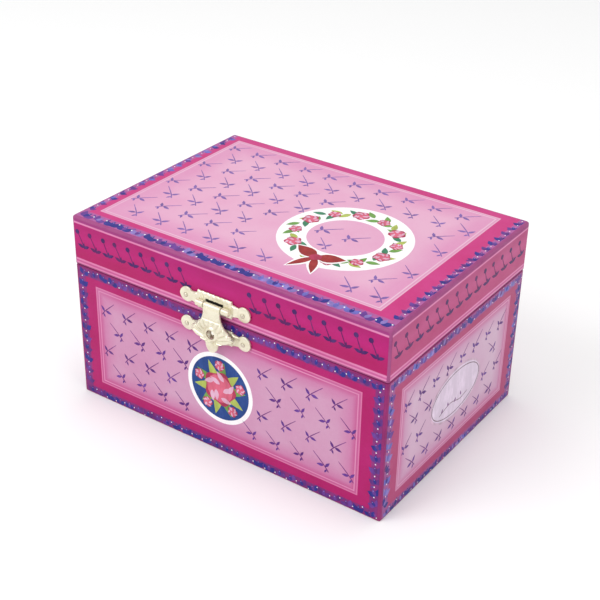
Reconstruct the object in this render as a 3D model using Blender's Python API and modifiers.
"""Ballerina jewellery box: a paper-covered case with a hinged lid, a stamped latch, a mirror in the
lid, two front compartments, and a music movement under the rear deck that turns a folding dancer.

The origin is at the middle of the case's underside. The front is -Y, and the lid is closed.
Every length below is in millimetres and is scaled to metres when a shape is made.
"""

import math

import bmesh
import bpy
from mathutils import Matrix, Vector

MM = 0.001
GAP = 0.3  # between pieces that touch

# Case and lid
LID_X, LID_Y = 152.0, 108.0
OVERHANG = 0.1  # the lid past the case, each side
SEAM_Z, TOP_Z = 63.0, 85.0
WALL, LID_WALL, LID_TOP = 3.0, 3.0, 3.0
BASE_T = 2.8

# Interior
DECK_Z, DECK_T = 43.0, 2.5
DECK_FRONT = -20.5
RISER_T = 2.5
DIVIDER_X, DIVIDER_T = -24.7, 2.0
PAD_T = 1.2
RING_BLOCK_TOP = 33.0
RING_R, RING_COUNT = 4.7, 3

# Latch, centred a little left of the middle
LATCH_X = -1.9
STAMP_T = 0.8
HASP_Z, KEEPER_Z = 69.0, 56.1
LOBE_X, LOBE_R = 13.8, 3.0
PLATE_HALF_W = 8.6
HASP_HALF_H, KEEPER_HALF_H = 3.8, 3.2
PIN_Y, PIN_Z = -56.0, 68.3
PIN_R, PIN_CLEAR = 0.6, 0.08
KNUCKLE_R, KNUCKLE_HALF = 1.2, 4.1
BOSS_R, BOSS_END = 1.45, 8.0
TONGUE_T = 0.7
TONGUE_HOLE_R, TONGUE_HOLE_Z = 2.1, 56.9
STUD_R, STUD_PROUD = 1.4, 1.4
NAIL_R, NAIL_HEAD_R = 0.5, 0.95

# Rear hinges
HINGE_X, HINGE_Y = 42.0, 55.6
HINGE_HALF = 9.0
HINGE_KNUCKLE_R = 1.3
LEAF_T, LEAF_H = 0.6, 8.4

# Mirror
MIRROR_X, MIRROR_Y, MIRROR_T = 112.0, 76.0, 1.4
FRAME_RIM, FRAME_T = 6.0, 1.2

# Music movement: the key and barrel turn about Y, the cylinder about Z
KEY_Z = 16.0
ARBOR_R = 2.0
RUNNING = 0.05
CYL_Y, CYL_R, CYL_LOW, CYL_HIGH = 25.5, 6.1, 9.2, 27.6
CYL_ARBOR_R = 1.2
TRACKS, PINS_PER_TRACK, PIN_PROUD = 18, 3, 0.4
PINION_R, PINION_TEETH = 7.2, 24
CROWN_R, CROWN_TEETH, CROWN_TOOTH = 10.8, 36, 1.3
BARREL_R, BARREL_Y = 11.6, (33.5, 46.0)
GEAR_R, GEAR_TEETH = 8.5, 24
TABLE_GEAR_R, TABLE_GEAR_TEETH = 17.0, 48
GEAR_Z, GEAR_T = 32.2, 1.8
GEAR_TIP = 0.35
WORM_X, WORM_R, WORM_WIRE, WORM_CORE_R = 10.15, 1.6, 0.42, 1.2
FAN_R = 4.2
SPINDLE_R = 1.5
TABLE_R = 9.0
STOP_X, STOP_Y, STOP_R = 26.0, 46.0, 0.6

# Dancer, folded forward about the top of her spring
FOLD_Z = 57.0
TUTU_R, TUTU_AT = 12.0, 21.0

ROUND = 32
SMALL = 16

COLOURS = {
    "printed_paper": ((0.74, 0.06, 0.36, 1.0), 0.45, 0.0),
    "lid_paper": ((0.80, 0.42, 0.70, 1.0), 0.4, 0.0),
    "lining_paper": ((0.86, 0.55, 0.70, 1.0), 0.8, 0.0),
    "velvet": ((0.72, 0.12, 0.38, 1.0), 0.95, 0.0),
    "ring_velvet": ((0.80, 0.22, 0.48, 1.0), 0.95, 0.0),
    "cream_plate": ((0.86, 0.83, 0.70, 1.0), 0.35, 0.5),
    "nail_steel": ((0.60, 0.58, 0.52, 1.0), 0.35, 1.0),
    "hinge_brass": ((0.78, 0.62, 0.34, 1.0), 0.35, 1.0),
    "mirror_glass": ((0.85, 0.88, 0.90, 1.0), 0.03, 1.0),
    "gilt_card": ((0.80, 0.62, 0.30, 1.0), 0.45, 0.3),
    "cast_zinc": ((0.55, 0.55, 0.56, 1.0), 0.45, 0.9),
    "steel": ((0.62, 0.63, 0.65, 1.0), 0.3, 1.0),
    "brass": ((0.82, 0.62, 0.28, 1.0), 0.3, 1.0),
    "white_nylon": ((0.88, 0.88, 0.85, 1.0), 0.5, 0.0),
    "pink_plastic": ((0.90, 0.50, 0.66, 1.0), 0.4, 0.0),
    "doll_plastic": ((0.93, 0.76, 0.66, 1.0), 0.45, 0.0),
    "tulle": ((0.97, 0.78, 0.86, 1.0), 0.8, 0.0),
}


def clear_scene():
    for obj in list(bpy.data.objects):
        bpy.data.objects.remove(obj, do_unlink=True)


def new_collection(name):
    made = bpy.data.collections.new(name)
    bpy.context.scene.collection.children.link(made)
    return made


clear_scene()
PARTS = new_collection("ballerina_jewellery_box")
CUTTERS = new_collection("cutters")


def material(name):
    """The Principled material of this name, made once."""
    found = bpy.data.materials.get(name)
    if found:
        return found
    colour, roughness, metallic = COLOURS[name]
    made = bpy.data.materials.new(name)
    made.use_nodes = True
    shader = made.node_tree.nodes["Principled BSDF"]
    shader.inputs["Base Color"].default_value = colour
    shader.inputs["Roughness"].default_value = roughness
    shader.inputs["Metallic"].default_value = metallic
    made.diffuse_color = colour
    return made


def add(name, mesh, slot=None):
    """An object in the parts collection, or in the cutters when it has no material slot."""
    obj = bpy.data.objects.new(name, mesh)
    if slot:
        PARTS.objects.link(obj)
        mesh.materials.append(material(slot))
        return obj
    CUTTERS.objects.link(obj)
    obj.hide_render = True
    obj.display_type = "WIRE"
    return obj


def mesh_of(name, bm):
    mesh = bpy.data.meshes.new(name)
    bmesh.ops.recalc_face_normals(bm, faces=bm.faces)
    bm.to_mesh(mesh)
    bm.free()
    return mesh


def smooth(obj, angle=35.0):
    """Round faces shaded smooth, edges sharper than the angle kept."""
    mesh = obj.data
    for face in mesh.polygons:
        face.use_smooth = True
    bm = bmesh.new()
    bm.from_mesh(mesh)
    for edge in bm.edges:
        edge.smooth = len(edge.link_faces) == 2 and edge.calc_face_angle(0.0) < math.radians(angle)
    bm.to_mesh(mesh)
    bm.free()
    return obj


def box(name, low, high, slot=None, bevel=0.0):
    """A block between two corners."""
    low, high = Vector(low) * MM, Vector(high) * MM
    bm = bmesh.new()
    bmesh.ops.create_cube(bm, size=1.0)
    bmesh.ops.scale(bm, vec=high - low, verts=bm.verts)
    bmesh.ops.translate(bm, vec=(low + high) / 2, verts=bm.verts)
    obj = add(name, mesh_of(name, bm), slot)
    if bevel:
        round_edges(obj, bevel)
    return obj


def round_edges(obj, width, segments=2, angle=30.0):
    made = obj.modifiers.new("edge", "BEVEL")
    made.width = width * MM
    made.segments = segments
    made.limit_method = "ANGLE"
    made.angle_limit = math.radians(angle)
    return obj


AXES = {
    "Z": Matrix.Identity(4),
    "Y": Matrix.Rotation(math.radians(-90), 4, "X"),
    "X": Matrix.Rotation(math.radians(90), 4, "Y"),
}


def rod(name, centre, axis, low, high, radius, slot=None, sides=SMALL, tip=None):
    """A cylinder, or a cone when tip is given, along an axis from low to high; centre is the other two."""
    bm = bmesh.new()
    bmesh.ops.create_cone(
        bm,
        cap_ends=True,
        segments=sides,
        radius1=radius * MM,
        radius2=(radius if tip is None else tip) * MM,
        depth=(high - low) * MM,
    )
    bmesh.ops.transform(bm, matrix=AXES[axis], verts=bm.verts)
    middle = (low + high) / 2
    place = {
        "X": (middle, centre[0], centre[1]),
        "Y": (centre[0], middle, centre[1]),
        "Z": (centre[0], centre[1], middle),
    }[axis]
    bmesh.ops.translate(bm, vec=Vector(place) * MM, verts=bm.verts)
    obj = add(name, mesh_of(name, bm), slot)
    return smooth(obj) if slot else obj


def ball(name, centre, radius, slot=None, sides=SMALL, rings=10, stretch=(1, 1, 1)):
    bm = bmesh.new()
    bmesh.ops.create_uvsphere(bm, u_segments=sides, v_segments=rings, radius=radius * MM)
    bmesh.ops.scale(bm, vec=stretch, verts=bm.verts)
    bmesh.ops.translate(bm, vec=Vector(centre) * MM, verts=bm.verts)
    obj = add(name, mesh_of(name, bm), slot)
    return smooth(obj) if slot else obj


def solid_mesh(obj):
    """A curve's or a modified mesh's finished shape as one plain mesh object of the same name."""
    graph = bpy.context.evaluated_depsgraph_get()
    mesh = bpy.data.meshes.new_from_object(obj.evaluated_get(graph), depsgraph=graph)
    bm = bmesh.new()
    bm.from_mesh(mesh)
    bmesh.ops.remove_doubles(bm, verts=bm.verts, dist=0.0005 * MM)
    bmesh.ops.recalc_face_normals(bm, faces=bm.faces)
    bm.to_mesh(mesh)
    bm.free()
    name = obj.name
    world = obj.matrix_world.copy()
    homes = list(obj.users_collection)
    hidden, shown_as = obj.hide_render, obj.display_type
    bpy.data.objects.remove(obj, do_unlink=True)
    made = bpy.data.objects.new(name, mesh)
    made.matrix_world = world
    made.hide_render, made.display_type = hidden, shown_as
    for home in homes:
        home.objects.link(made)
    return made


def flat(name, loops, thickness, plane, at, slot=None):
    """A sheet from 2D outlines, with inner outlines as holes.

    plane is "XY" (at is its lower Z), "XZ" (at is its larger Y) or "YZ" (at is its lower X).
    """
    curve = bpy.data.curves.new(name, "CURVE")
    curve.dimensions = "2D"
    curve.fill_mode = "BOTH"
    curve.extrude = thickness * MM / 2
    for points in loops:
        spline = curve.splines.new("POLY")
        spline.points.add(len(points) - 1)
        for slot_point, (u, v) in zip(spline.points, points):
            slot_point.co = (u * MM, v * MM, 0.0, 1.0)
        spline.use_cyclic_u = True
    obj = bpy.data.objects.new(name, curve)
    (PARTS if slot else CUTTERS).objects.link(obj)
    if slot:
        curve.materials.append(material(slot))
    else:
        obj.hide_render = True
        obj.display_type = "WIRE"
    turn = {
        "XY": Matrix.Identity(4),
        "XZ": Matrix.Rotation(math.radians(90), 4, "X"),
        "YZ": Matrix(((0, 0, 1, 0), (1, 0, 0, 0), (0, 1, 0, 0), (0, 0, 0, 1))),
    }[plane]
    middle = at - thickness / 2 if plane == "XZ" else at + thickness / 2
    shift = {"XY": (0, 0, middle), "XZ": (0, middle, 0), "YZ": (middle, 0, 0)}[plane]
    obj.matrix_world = Matrix.Translation(Vector(shift) * MM) @ turn
    bpy.context.view_layer.update()
    made = solid_mesh(obj)
    made.data.transform(made.matrix_world)
    made.matrix_world = Matrix.Identity(4)
    return made


def tube(name, points, radius, slot=None, resolution=2, radii=None):
    """A round wire through the points, its ends capped."""
    curve = bpy.data.curves.new(name, "CURVE")
    curve.dimensions = "3D"
    curve.bevel_depth = radius * MM
    curve.bevel_resolution = resolution
    curve.use_fill_caps = True
    spline = curve.splines.new("POLY")
    spline.points.add(len(points) - 1)
    for index, (target, point) in enumerate(zip(spline.points, points)):
        target.co = (*(Vector(point) * MM), 1.0)
        target.radius = radii[index] if radii else 1.0
    obj = bpy.data.objects.new(name, curve)
    (PARTS if slot else CUTTERS).objects.link(obj)
    if slot:
        curve.materials.append(material(slot))
    else:
        obj.hide_render = True
        obj.display_type = "WIRE"
    bpy.context.view_layer.update()
    made = solid_mesh(obj)
    return smooth(made) if slot else made


def turned(name, profile, slot=None, centre=(0, 0, 0), axis="Z", steps=ROUND, closed=False):
    """A turned shape from (radius, height) points that run down its outer side."""
    mesh = bpy.data.meshes.new(name)
    ends = len(profile) if closed else len(profile) - 1
    edges = [(i, (i + 1) % len(profile)) for i in range(ends)]
    mesh.from_pydata([(r * MM, 0, z * MM) for r, z in profile], edges, [])
    obj = add(name, mesh, slot)
    screw = obj.modifiers.new("turn", "SCREW")
    screw.steps = screw.render_steps = steps
    screw.use_merge_vertices = True
    screw.merge_threshold = 0.00001 * MM
    screw.use_normal_calculate = True
    made = solid_mesh(obj)
    made.data.transform(Matrix.Translation(Vector(centre) * MM) @ AXES[axis])
    return smooth(made) if slot else made


def combine(base, others, operation="UNION"):
    """Joins or cuts with EXACT booleans, then keeps the result as a plain mesh."""
    for index, other in enumerate(others):
        made = base.modifiers.new(f"{operation.lower()}_{index}", "BOOLEAN")
        made.operation = operation
        made.solver = "EXACT"
        made.object = other
    bpy.context.view_layer.update()
    made = solid_mesh(base)
    for other in others:
        bpy.data.objects.remove(other, do_unlink=True)
    return made


def circle(x, y, radius, count=SMALL, turn=0.0):
    angles = [turn + 2 * math.pi * i / count for i in range(count)]
    return [(x + radius * math.cos(a), y + radius * math.sin(a)) for a in angles]


def arc(x, y, radius, start, end, count):
    """Points along an arc, its angles in degrees."""
    angles = [math.radians(start + (end - start) * i / count) for i in range(count + 1)]
    return [(x + radius * math.cos(a), y + radius * math.sin(a)) for a in angles]


def gear_outline(x, y, pitch_r, teeth, tip, root, first, share=0.43):
    """A spur gear's outline; one tooth is centred on the angle first, in degrees."""
    pitch = 2 * math.pi / teeth
    half_root, half_tip = pitch * share * 0.66, pitch * share * 0.30
    points = []
    for tooth in range(teeth):
        middle = math.radians(first) + tooth * pitch
        for radius, offset in (
            (pitch_r - root, -half_root),
            (pitch_r + tip, -half_tip),
            (pitch_r + tip, half_tip),
            (pitch_r - root, half_root),
        ):
            points.append((x + radius * math.cos(middle + offset), y + radius * math.sin(middle + offset)))
    return points


# ---------------------------------------------------------------- case


def mitred(name, half_u, thickness, outer, low, high, side, slot):
    """A wall whose ends are cut at 45 degrees to meet its neighbours; side is front, back, left or right."""
    cut = GAP / 2 * math.sqrt(2)
    inner_u = half_u - thickness
    outline = [(-half_u + cut, 0), (half_u - cut, 0), (inner_u - cut, thickness), (-inner_u + cut, thickness)]
    place = {
        "front": lambda u, v: (u, -outer + v),
        "back": lambda u, v: (-u, outer - v),
        "left": lambda u, v: (-outer + v, -u),
        "right": lambda u, v: (outer - v, u),
    }[side]
    return flat(name, [[place(u, v) for u, v in outline]], high - low, "XY", low, slot)


def build_case():
    half_x, half_y = LID_X / 2 - OVERHANG, LID_Y / 2 - OVERHANG
    top = SEAM_Z - GAP
    inner_x, inner_y = half_x - WALL - GAP, half_y - WALL - GAP
    box("base_panel", (-inner_x, -inner_y, 0), (inner_x, inner_y, BASE_T), "lining_paper")
    front = mitred("front_wall", half_x, WALL, half_y, 0, top, "front", "printed_paper")
    holes = [
        rod(f"nail_hole_{i}", (LATCH_X + x, KEEPER_Z), "Y", -half_y - 1, -half_y + 2.4, NAIL_R + 0.1)
        for i, x in enumerate((-LOBE_X, LOBE_X))
    ]
    combine(front, holes, "DIFFERENCE")
    back = mitred("back_wall", half_x, WALL, half_y, 0, top, "back", "printed_paper")
    combine(back, [rod("key_hole", (0, KEY_Z), "Y", half_y - WALL - 1, half_y + 1, 3.2)], "DIFFERENCE")
    mitred("left_wall", half_y, WALL, half_x, 0, top, "left", "printed_paper")
    mitred("right_wall", half_y, WALL, half_x, 0, top, "right", "printed_paper")


def build_interior():
    inner_x = LID_X / 2 - OVERHANG - WALL - GAP
    inner_y = LID_Y / 2 - OVERHANG - WALL - GAP
    floor = BASE_T + GAP
    under_deck = DECK_Z - DECK_T
    outline = [
        (-inner_x, DECK_FRONT),
        (inner_x, DECK_FRONT),
        (inner_x, inner_y),
        (-inner_x, inner_y),
    ]
    holes = [circle(0, 0, 4.0, 24), circle(STOP_X, STOP_Y, STOP_R + 0.6)]
    flat("deck", [outline, *holes], DECK_T, "XY", under_deck, "velvet")
    box(
        "deck_riser",
        (-inner_x, DECK_FRONT, floor),
        (inner_x, DECK_FRONT + RISER_T, under_deck - GAP),
        "lining_paper",
    )
    box(
        "compartment_divider",
        (DIVIDER_X - DIVIDER_T / 2, -inner_y, floor),
        (DIVIDER_X + DIVIDER_T / 2, DECK_FRONT - GAP, DECK_Z - 1),
        "lining_paper",
    )
    box(
        "floor_pad",
        (DIVIDER_X + DIVIDER_T / 2 + GAP, -inner_y, floor),
        (inner_x, DECK_FRONT - GAP, floor + PAD_T),
        "velvet",
        bevel=0.3,
    )
    left, right = -inner_x, DIVIDER_X - DIVIDER_T / 2 - GAP
    box("ring_block", (left, -inner_y, floor), (right, DECK_FRONT - GAP, RING_BLOCK_TOP), "velvet")
    depth = DECK_FRONT - GAP + inner_y
    for index in range(RING_COUNT):
        y = -inner_y + depth * (index + 0.5) / RING_COUNT
        z = RING_BLOCK_TOP + GAP + RING_R * 0.8
        roll = rod(f"ring_roll_{index + 1}", (0, 0), "X", left + 0.5, right - 0.5, RING_R, "ring_velvet", 20)
        roll.data.transform(Matrix.Scale(0.8, 4, (0, 0, 1)))
        roll.data.transform(Matrix.Translation(Vector((0, y, z)) * MM))
        round_edges(roll, 1.2, 2, 60)


# ---------------------------------------------------------------- lid


def build_lid():
    half_x, half_y = LID_X / 2, LID_Y / 2
    under = TOP_Z - LID_TOP
    box("lid_top", (-half_x, -half_y, under), (half_x, half_y, TOP_Z), "lid_paper", bevel=0.5)
    front = mitred("lid_front", half_x, LID_WALL, half_y, SEAM_Z, under - GAP, "front", "printed_paper")
    holes = [
        rod(f"nail_hole_{i}", (LATCH_X + x, HASP_Z), "Y", -half_y - 1, -half_y + 2.4, NAIL_R + 0.1)
        for i, x in enumerate((-LOBE_X, LOBE_X))
    ]
    combine(front, holes, "DIFFERENCE")
    mitred("lid_back", half_x, LID_WALL, half_y, SEAM_Z, under - GAP, "back", "printed_paper")
    mitred("lid_left", half_y, LID_WALL, half_x, SEAM_Z, under - GAP, "left", "printed_paper")
    mitred("lid_right", half_y, LID_WALL, half_x, SEAM_Z, under - GAP, "right", "printed_paper")
    glass = under - GAP - MIRROR_T
    box(
        "mirror",
        (-MIRROR_X / 2, -MIRROR_Y / 2, glass),
        (MIRROR_X / 2, MIRROR_Y / 2, under - GAP),
        "mirror_glass",
    )
    u, v = MIRROR_X / 2 + 3, MIRROR_Y / 2 + 3
    outer = [(-u, -v), (u, -v), (u, v), (-u, v)]
    a, b = u - FRAME_RIM, v - FRAME_RIM
    hole = [(-a, -b), (a, -b), (a, b), (-a, b)]
    flat("mirror_frame", [outer, hole], FRAME_T, "XY", glass - GAP - FRAME_T, "gilt_card")


# ---------------------------------------------------------------- latch


def plate_outline(x, z, half_height):
    """The latch plates' shape: a straight middle between two round lobes."""
    lobe = arc(LOBE_X, 0, LOBE_R, -140, 140, 12)
    flank = [(PLATE_HALF_W, 0.5 - half_height), *lobe, (PLATE_HALF_W, half_height - 0.5)]
    right = [(PLATE_HALF_W - 1.6, -half_height), *flank, (PLATE_HALF_W - 1.6, half_height)]
    left = [(-u, -v) for u, v in right]
    return [(x + u, z + v) for u, v in right + left]


def nail(name, x, z, face_y):
    """A dome-headed nail whose head stands on a plate's front face and whose shank goes into the board."""
    head = ball(name, (0, 0, 0), NAIL_HEAD_R, "nail_steel", SMALL, 8, (1, 1, 0.55))
    shank = rod(f"{name}_shank", (0, 0), "Z", -STAMP_T - GAP - 2.2, 0.2, NAIL_R)
    keep = box(f"{name}_keep", (-2, -2, -4), (2, 2, 0))
    combine(head, [keep], "DIFFERENCE")
    made = combine(bpy.data.objects[name], [shank])
    turn = Matrix.Rotation(math.radians(90), 4, "X")
    made.data.transform(Matrix.Translation(Vector((x, face_y - GAP / 3, z)) * MM) @ turn)
    return smooth(made)


def build_latch():
    lid_face = -LID_Y / 2 - GAP
    case_face = -LID_Y / 2 + OVERHANG - GAP
    loops = [
        plate_outline(LATCH_X, HASP_Z, HASP_HALF_H),
        [
            (LATCH_X - KNUCKLE_HALF - GAP, PIN_Z - 1.7),
            (LATCH_X + KNUCKLE_HALF + GAP, PIN_Z - 1.7),
            (LATCH_X + KNUCKLE_HALF + GAP, PIN_Z + 2.2),
            (LATCH_X - KNUCKLE_HALF - GAP, PIN_Z + 2.2),
        ],
        circle(LATCH_X - LOBE_X, HASP_Z, NAIL_R + 0.1),
        circle(LATCH_X + LOBE_X, HASP_Z, NAIL_R + 0.1),
    ]
    hasp = flat("hasp_plate", loops, STAMP_T, "XZ", lid_face, "cream_plate")
    bosses = [
        rod(f"boss_{i}", (PIN_Y, PIN_Z), "X", LATCH_X + low, LATCH_X + high, BOSS_R)
        for i, (low, high) in enumerate(((-BOSS_END, -KNUCKLE_HALF - GAP), (KNUCKLE_HALF + GAP, BOSS_END)))
    ]
    hasp = combine(hasp, bosses)
    bore = rod("hasp_bore", (PIN_Y, PIN_Z), "X", LATCH_X - 12, LATCH_X + 12, PIN_R + PIN_CLEAR)
    smooth(combine(hasp, [bore], "DIFFERENCE"))
    half_pin = BOSS_END - 0.2
    rod("hasp_pin", (PIN_Y, PIN_Z), "X", LATCH_X - half_pin, LATCH_X + half_pin, PIN_R, "nail_steel")

    loops = [
        plate_outline(LATCH_X, KEEPER_Z, KEEPER_HALF_H),
        circle(LATCH_X - LOBE_X, KEEPER_Z, NAIL_R + 0.1),
        circle(LATCH_X + LOBE_X, KEEPER_Z, NAIL_R + 0.1),
        circle(LATCH_X, TONGUE_HOLE_Z, 0.8),
    ]
    flat("keeper_plate", loops, STAMP_T, "XZ", case_face, "cream_plate")
    front = case_face - STAMP_T
    stud_y = front - STUD_PROUD + STUD_R
    stud = ball("catch_stud", (LATCH_X, stud_y, TONGUE_HOLE_Z), STUD_R, "nail_steel", SMALL, 10)
    shank = rod("stud_shank", (LATCH_X, TONGUE_HOLE_Z), "Y", front - 1.5, case_face - 0.1, 0.7)
    low_corner = (LATCH_X - 3, front - 0.08, TONGUE_HOLE_Z - 3)
    trim = box("stud_trim", low_corner, (LATCH_X + 3, front + 3, TONGUE_HOLE_Z + 3))
    stud = combine(stud, [trim], "DIFFERENCE")
    smooth(combine(stud, [shank]))

    for x, label in ((-LOBE_X, "left"), (LOBE_X, "right")):
        nail(f"hasp_nail_{label}", LATCH_X + x, HASP_Z, lid_face - STAMP_T)
        nail(f"keeper_nail_{label}", LATCH_X + x, KEEPER_Z, front)
    build_tongue()


def build_tongue():
    """The fan-shaped tongue that hangs from the pin: neck, flared fan with a hole, and a finger tab."""
    right = [
        (4.0, PIN_Z),
        (4.0, 65.6),
        (4.4, 63.6),
        (5.6, 61.4),
        (7.6, 59.4),
        (9.6, 57.9),
        (10.2, 57.0),
        (9.9, 56.0),
        (8.0, 54.6),
        (5.6, 53.7),
        (3.2, 53.3),
        (3.0, 51.6),
        (2.6, 49.8),
        (1.7, 48.9),
        (0.6, 48.6),
    ]
    outline = [(LATCH_X + u, z) for u, z in right] + [(LATCH_X - u, z) for u, z in reversed(right)]
    hole = circle(LATCH_X, TONGUE_HOLE_Z, TONGUE_HOLE_R, 24)
    tongue = flat("hasp_tongue", [outline, hole], TONGUE_T, "XZ", PIN_Y - KNUCKLE_R + 0.5, "cream_plate")
    low, high = LATCH_X - KNUCKLE_HALF, LATCH_X + KNUCKLE_HALF
    knuckle = rod("knuckle", (PIN_Y, PIN_Z), "X", low, high, KNUCKLE_R, sides=20)
    tongue = combine(tongue, [knuckle])
    bore = rod("tongue_bore", (PIN_Y, PIN_Z), "X", LATCH_X - 6, LATCH_X + 6, PIN_R + PIN_CLEAR)
    smooth(combine(tongue, [bore], "DIFFERENCE"))


# ---------------------------------------------------------------- hinges


def hinge_leaf(name, x, on_lid):
    """One leaf: a plate with nail holes and the knuckles that it shares with its partner."""
    reach = HINGE_HALF
    middle = 3.0
    knuckles = [(-reach, -middle - GAP), (middle + GAP, reach)] if on_lid else [(-middle, middle)]
    face = LID_Y / 2 + GAP if on_lid else LID_Y / 2 - OVERHANG + GAP
    shoulder = SEAM_Z + 1.6 if on_lid else SEAM_Z - 1.6
    far = shoulder + LEAF_H if on_lid else shoulder - LEAF_H
    near = SEAM_Z + GAP if on_lid else SEAM_Z - GAP
    hole_z = far - 3.0 if on_lid else far + 3.0
    if on_lid:
        side = middle + GAP
        notch = [(side, near), (side, shoulder), (-side, shoulder), (-side, near)]
        edge = [(reach, near), *notch, (-reach, near)]
    else:
        tab = [(middle, shoulder), (middle, near), (-middle, near), (-middle, shoulder)]
        edge = [(reach, shoulder), *tab, (-reach, shoulder)]
    outline = [(x + u, z) for u, z in [(-reach, far), (reach, far), *edge]]
    holes = [circle(x + u, hole_z, 0.8) for u in (-5.5, 5.5)]
    leaf = flat(name, [outline, *holes], LEAF_T, "XZ", face + LEAF_T, "hinge_brass")
    joined = [
        rod(f"{name}_k{index}", (HINGE_Y, SEAM_Z), "X", x + a, x + b, HINGE_KNUCKLE_R, sides=20)
        for index, (a, b) in enumerate(knuckles)
    ]
    if not on_lid:
        bridge = (x - middle + 0.05, face + 0.2, shoulder - 0.3), (x + middle - 0.05, HINGE_Y - 0.8, near)
        joined.append(box(f"{name}_bridge", *bridge))
    leaf = combine(leaf, joined)
    bore = rod(f"{name}_bore", (HINGE_Y, SEAM_Z), "X", x - 12, x + 12, PIN_R + PIN_CLEAR)
    smooth(combine(leaf, [bore], "DIFFERENCE"))


def build_hinges():
    for x, label in ((-HINGE_X, "left"), (HINGE_X, "right")):
        hinge_leaf(f"hinge_leaf_case_{label}", x, False)
        hinge_leaf(f"hinge_leaf_lid_{label}", x, True)
        low, high = x - HINGE_HALF, x + HINGE_HALF
        rod(f"hinge_pin_{label}", (HINGE_Y, SEAM_Z), "X", low, high, PIN_R, "hinge_brass")


# ---------------------------------------------------------------- music movement


def build_bedplate():
    """Back plate, the comb's pillar and two arms that carry the cylinder's arbor."""
    inner_y = LID_Y / 2 - OVERHANG - WALL - GAP
    plate_y = inner_y - 2.0
    plate = box("bedplate", (-27, plate_y, 4.0), (24, inner_y, 39.5), "cast_zinc")
    pillar = box("pillar", (-24, 24.6, 7.0), (-13.5, plate_y + 1, 29.8))
    arms = [
        box(f"arm_{i}", (-14, CYL_Y - 3.4, low), (3.4, CYL_Y + 3.4, low + 1.6))
        for i, low in enumerate((7.0, 28.2))
    ]
    joined = combine(plate, [pillar, *arms])
    cuts = [
        rod("key_bore", (0, KEY_Z), "Y", plate_y - 2, inner_y + 2, ARBOR_R + RUNNING, sides=24),
        rod("arbor_bore", (0, CYL_Y), "Z", 5, 31, CYL_ARBOR_R + RUNNING, sides=24),
        rod("screw_bore_0", (-19, 12.5), "Y", 20, 30, 1.3),
        rod("screw_bore_1", (-19, 24.5), "Y", 20, 30, 1.3),
    ]
    smooth(combine(joined, cuts, "DIFFERENCE"))


def build_comb():
    """The tuned steel comb, its teeth tips just clear of the cylinder's pins."""
    pitch = 1.0
    first = 18.4 - pitch * (TRACKS - 1) / 2
    tip = -(CYL_R + PIN_PROUD + 0.35)
    outline = [(-23.8, first - 1.2), (-14.0, first - 1.2)]
    for tooth in range(TRACKS):
        z = first + tooth * pitch
        root = -14.0 - tooth * 0.12
        outline += [(root, z - 0.32), (tip, z - 0.24), (tip, z + 0.24), (root, z + 0.32)]
    last = first + (TRACKS - 1) * pitch
    outline += [(-16.2, last + 1.2), (-23.8, last + 1.2)]
    holes = [circle(-19, 12.5, 1.35), circle(-19, 24.5, 1.35)]
    flat("comb", [outline, *holes], 1.0, "XZ", 24.6 - GAP, "steel")
    for index, z in enumerate((12.5, 24.5)):
        profile = [(0, 1.3), (1.7, 1.3), (2.2, 0.9), (2.2, 0), (1.2, 0), (1.2, -4.0), (0, -4.0)]
        screw = turned(f"comb_screw_{index + 1}", profile, "steel", steps=SMALL)
        turn = Matrix.Rotation(math.radians(90), 4, "X")
        screw.data.transform(Matrix.Translation(Vector((-19, 23.3 - GAP, z)) * MM) @ turn)


def build_barrel():
    """Spring barrel open at the back, with face teeth that drive the cylinder's pinion."""
    low, high = BARREL_Y
    inner = BARREL_R - 1.2
    profile = [
        (ARBOR_R + RUNNING, 0),
        (BARREL_R, 0),
        (BARREL_R, high - low),
        (inner, high - low),
        (inner, 1.6),
        (ARBOR_R + RUNNING, 1.6),
    ]
    barrel = turned("spring_barrel", list(reversed(profile)), "brass", closed=True)
    barrel.data.transform(AXES["Y"])
    barrel.data.transform(Matrix.Translation(Vector((0, low, KEY_Z)) * MM))
    teeth = []
    for index in range(CROWN_TEETH):
        corner = (0.33, low + 0.4, -CROWN_R + 1.1)
        tooth = box(f"crown_{index}", (-0.33, low - CROWN_TOOTH, -CROWN_R - 0.75), corner)
        turn = Matrix.Rotation(2 * math.pi * index / CROWN_TEETH, 4, "Y")
        tooth.data.transform(Matrix.Translation(Vector((0, 0, KEY_Z)) * MM) @ turn)
        teeth.append(tooth)
    smooth(combine(barrel, teeth))

    turns, count, thick = 4.0, 96, 0.45
    inner_r, outer_r = ARBOR_R + 1.0, inner - 0.8
    centre_line = [
        (2 * math.pi * turns * i / count, inner_r + (outer_r - inner_r) * i / count) for i in range(count + 1)
    ]
    outside = [((r + thick) * math.cos(a), KEY_Z + (r + thick) * math.sin(a)) for a, r in centre_line]
    inside = [(r * math.cos(a), KEY_Z + r * math.sin(a)) for a, r in centre_line]
    flat("mainspring", [outside + list(reversed(inside))], 8.0, "XZ", low + 10.8, "steel")


def build_key():
    """The winding arbor, through the back wall, and the butterfly key on its end."""
    end = 58.0
    rod("winding_arbor", (0, KEY_Z), "Y", BARREL_Y[0] - 0.6, end, ARBOR_R, "steel", 24)
    hub_low, hub_high = LID_Y / 2 - OVERHANG + 1.0, 61.0
    hub = rod("winding_key", (0, KEY_Z), "Y", hub_low, hub_high, 3.4, "brass", 24)
    plate = flat("wings", [wing_outline()], 1.6, "XY", KEY_Z - 0.8)
    eyes = [rod(f"eye_{i}", (x, 64.6), "Z", KEY_Z - 3, KEY_Z + 3, 2.0) for i, x in enumerate((-6.8, 6.8))]
    plate = combine(plate, eyes, "DIFFERENCE")
    hub = combine(hub, [plate])
    bore = rod("key_bore", (0, KEY_Z), "Y", hub_low - 1, end + 0.3, ARBOR_R + RUNNING, sides=24)
    smooth(combine(hub, [bore], "DIFFERENCE"))


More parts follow.
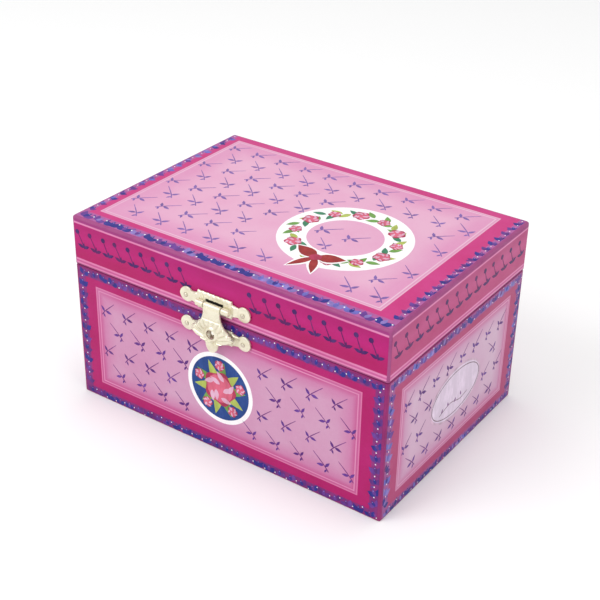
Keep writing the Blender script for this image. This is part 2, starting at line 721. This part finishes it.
def wing_outline():
    """The key's two rounded wings in the XY plane, joined at the hub."""
    right = arc(6.8, 64.6, 4.4, -125, 140, 18)
    left = [(-x, y) for x, y in reversed(right)]
    return [*right, (0, 65.0), *left, (0, 58.6)]


def build_cylinder():
    """The pinned cylinder with its arbor, the pinion below it and the drive gear above it."""
    drum = rod("pinned_cylinder", (0, CYL_Y), "Z", CYL_LOW, CYL_HIGH, CYL_R, "brass", 48)
    pins = []
    for track in range(TRACKS):
        z = 18.4 + (track - (TRACKS - 1) / 2) * 1.0
        for step in range(PINS_PER_TRACK):
            angle = math.radians((track * 67 + step * 131 + 20 * (track % 5)) % 360)
            pin = box(f"pin_{track}_{step}", (CYL_R - 0.5, -0.17, -0.17), (CYL_R + PIN_PROUD, 0.17, 0.17))
            place = Matrix.Translation(Vector((0, CYL_Y, z)) * MM) @ Matrix.Rotation(angle, 4, "Z")
            pin.data.transform(place)
            pins.append(pin)
    drum = combine(drum, pins)
    bore = rod("drum_bore", (0, CYL_Y), "Z", CYL_LOW - 1, CYL_HIGH + 1, CYL_ARBOR_R + 0.3)
    smooth(combine(drum, [bore], "DIFFERENCE"))
    rod("cylinder_arbor", (0, CYL_Y), "Z", 3.6, GEAR_Z + 3.0, CYL_ARBOR_R, "steel", 24)
    hole = circle(0, CYL_Y, CYL_ARBOR_R + 0.3)
    space = 360 / PINION_TEETH / 2
    outline = gear_outline(0, CYL_Y, PINION_R, PINION_TEETH, 0.62, 0.85, 90 + space)
    flat("cylinder_pinion", [outline, hole], 2.4, "XY", 4.1, "brass")
    outline = gear_outline(0, CYL_Y, GEAR_R, GEAR_TEETH, GEAR_TIP, 0.85, -90)
    flat("cylinder_gear", [outline, hole], GEAR_T, "XY", GEAR_Z - GEAR_T / 2, "brass")


def build_governor():
    """The air brake: a worm on the cylinder gear's right, with a two-bladed fan behind it."""
    pitch = 2 * math.pi * GEAR_R / GEAR_TEETH
    x = WORM_X
    turns, per_turn = 4, 16
    shaft = rod("governor_worm", (x, GEAR_Z), "Y", 18.2, 44.6, 0.9, "steel", SMALL)
    helix = []
    start = CYL_Y - turns * pitch / 2
    for i in range(turns * per_turn + 1):
        angle = 2 * math.pi * i / per_turn
        y = start + pitch * i / per_turn
        helix.append((x + WORM_R * math.cos(angle), y, GEAR_Z + WORM_R * math.sin(angle)))
    core = rod("worm_core", (x, GEAR_Z), "Y", start - 0.8, start + turns * pitch + 0.8, WORM_CORE_R)
    thread = tube("worm_thread", helix, WORM_WIRE, resolution=1)
    smooth(combine(shaft, [core, thread]))
    hub = rod("governor_fan", (x, GEAR_Z), "Y", 36.0, 42.0, 1.7, "white_nylon", SMALL)
    blades = [
        box(f"blade_{i}", (x + low, 36.6, GEAR_Z - 0.3), (x + high, 41.4, GEAR_Z + 0.3))
        for i, (low, high) in enumerate(((-FAN_R, -1.2), (1.2, FAN_R)))
    ]
    hub = combine(hub, blades)
    bore = rod("fan_bore", (x, GEAR_Z), "Y", 34, 44, 0.95)
    smooth(combine(hub, [bore], "DIFFERENCE"))

    inner_y = LID_Y / 2 - OVERHANG - WALL - GAP
    low_corner, high_corner = (x + 5.6, 16.6, GEAR_Z - 4), (x + 7.2, inner_y - 2.0 - GAP, GEAR_Z + 3)
    rail = box("governor_bracket", low_corner, high_corner, "cast_zinc")
    ends = [
        box(f"end_{i}", (x - 2.4, y, GEAR_Z - 3), (x + 6, y + 1.6, GEAR_Z + 3))
        for i, y in enumerate((16.9, 43.4))
    ]
    rail = combine(rail, ends)
    bores = [
        rod("rail_bore_0", (x, GEAR_Z), "Y", 17.7, 19, 0.95),
        rod("rail_bore_1", (x, GEAR_Z), "Y", 43, 44.8, 0.95),
    ]
    smooth(combine(rail, bores, "DIFFERENCE"))


def build_turntable():
    """Spindle with its gear, foot bearing and deck bush, the turntable disc and the dancer's spring."""
    profile = [(0, 4.0), (4.5, 4.0), (6.0, 1.0), (6.0, 0), (0, 0)]
    foot = turned("spindle_foot", profile, "white_nylon", (0, 0, BASE_T + GAP))
    bore = rod("foot_bore", (0, 0), "Z", 5.0, 9.0, SPINDLE_R + RUNNING, sides=24)
    smooth(combine(foot, [bore], "DIFFERENCE"))
    top = DECK_Z + 0.9
    rod("spindle", (0, 0), "Z", 5.2, DECK_Z + 2.0, SPINDLE_R, "steel", 24)
    bore_r = SPINDLE_R + RUNNING
    bush = [(5.2, 0.6), (5.2, GAP), (3.7, GAP), (3.7, -DECK_T - 1.2), (bore_r, -DECK_T - 1.2), (bore_r, 0.6)]
    turned("deck_bush", bush, "white_nylon", (0, 0, DECK_Z), closed=True)
    hole = circle(0, 0, SPINDLE_R + 0.1, 24)
    space = 360 / TABLE_GEAR_TEETH / 2
    outline = gear_outline(0, 0, TABLE_GEAR_R, TABLE_GEAR_TEETH, 0.6, 0.85, 90 + space)
    flat("turntable_gear", [outline, hole], GEAR_T, "XY", GEAR_Z - GEAR_T / 2, "white_nylon")
    disc = [(0, 2.1), (2.2, 2.1), (TABLE_R - 1.2, 1.7), (TABLE_R, 1.1), (TABLE_R, 0), (0, 0)]
    disc = turned("turntable_disc", disc, "pink_plastic", (0, 0, top))
    socket = rod("disc_socket", (0, 0), "Z", top - 1, top + 1.3, SPINDLE_R + 0.1, sides=24)
    smooth(combine(disc, [socket], "DIFFERENCE"))

    coils, per_turn, wire = 6, 14, 0.42
    low, high = top + 2.1 + GAP + wire, FOLD_Z - 1.9
    points = []
    for i in range(coils * per_turn + 1):
        angle = 2 * math.pi * i / per_turn
        z = low + (high - low) * i / (coils * per_turn)
        points.append((2.0 * math.cos(angle), 2.0 * math.sin(angle), z))
    tube("dancer_spring", points, wire, "steel")


def build_dancer():
    """The figure, modelled upright from the fold axis and then laid forward over the deck."""
    limbs = [
        ball("d_hips", (0, 0, 21.5), 2.5, stretch=(1, 0.8, 0.9)),
        rod("d_waist", (0, 0), "Z", 21.0, 27.0, 2.2, tip=1.7),
        ball("d_chest", (0, 0, 28.2), 2.6, stretch=(1, 0.78, 0.95)),
        rod("d_neck", (0, 0), "Z", 29, 34.5, 0.85),
        ball("d_head", (0, 0, 36.2), 2.9, stretch=(0.92, 1, 1.05)),
        ball("d_bun", (0, 0.8, 39.5), 1.4, sides=12, rings=8),
        tube("d_leg", [(0, 0, 1.0), (0.2, 0, 10.5), (0.7, 0, 21)], 1.7, radii=(0.45, 0.75, 1.05)),
        tube("d_bent", [(-0.2, 0, 8.8), (-4.6, -0.4, 14.6), (-0.8, 0, 21)], 1.6, radii=(0.5, 0.75, 0.95)),
    ]
    for side in (1, -1):
        arm = [(side * u, 0, z) for u, z in ((1.0, 29.2), (6.4, 34.2), (5.4, 40.5), (1.0, 45.0))]
        limbs.append(tube(f"d_arm_{side}", arm, 0.85, radii=(1.2, 1, 0.85, 0.6)))
    profile = [(0, 1.4), (1.1, 1.4), (1.7, 0.4), (1.7, -1.0), (0, -1.0)]
    plug = turned("dancer", profile, "doll_plastic", steps=SMALL)
    figure = combine(plug, limbs)
    skirt = turned(
        "tutu",
        [
            (3.3, TUTU_AT + 2.2),
            (4.2, TUTU_AT + 1.9),
            (TUTU_R, TUTU_AT + 1.3),
            (TUTU_R, TUTU_AT + 0.3),
            (4.6, TUTU_AT - 1.0),
            (3.3, TUTU_AT - 1.0),
        ],
        "tulle",
        steps=36,
        closed=True,
    )
    lay = Matrix.Translation(Vector((0, 0, FOLD_Z)) * MM) @ Matrix.Rotation(math.radians(90), 4, "X")
    for obj in (figure, skirt):
        obj.data.transform(lay)
        smooth(obj, 50)


def build_stop_wire():
    """The wire that the closed lid holds down, so that its bent foot sits beside the governor's fan."""
    top = TOP_Z - LID_TOP - 2 * GAP
    foot_z = GEAR_Z + FAN_R + STOP_R + 0.2
    bend = (STOP_X - 1, STOP_Y - 0.6, foot_z)
    points = [(STOP_X, STOP_Y, top), (STOP_X, STOP_Y, foot_z + 1), bend, (WORM_X - 0.6, 39.4, foot_z)]
    tube("stop_wire", points, STOP_R, "steel")


build_case()
build_interior()
build_lid()
build_latch()
build_hinges()
build_bedplate()
build_comb()
build_barrel()
build_key()
build_cylinder()
build_governor()
build_turntable()
build_dancer()
build_stop_wire()
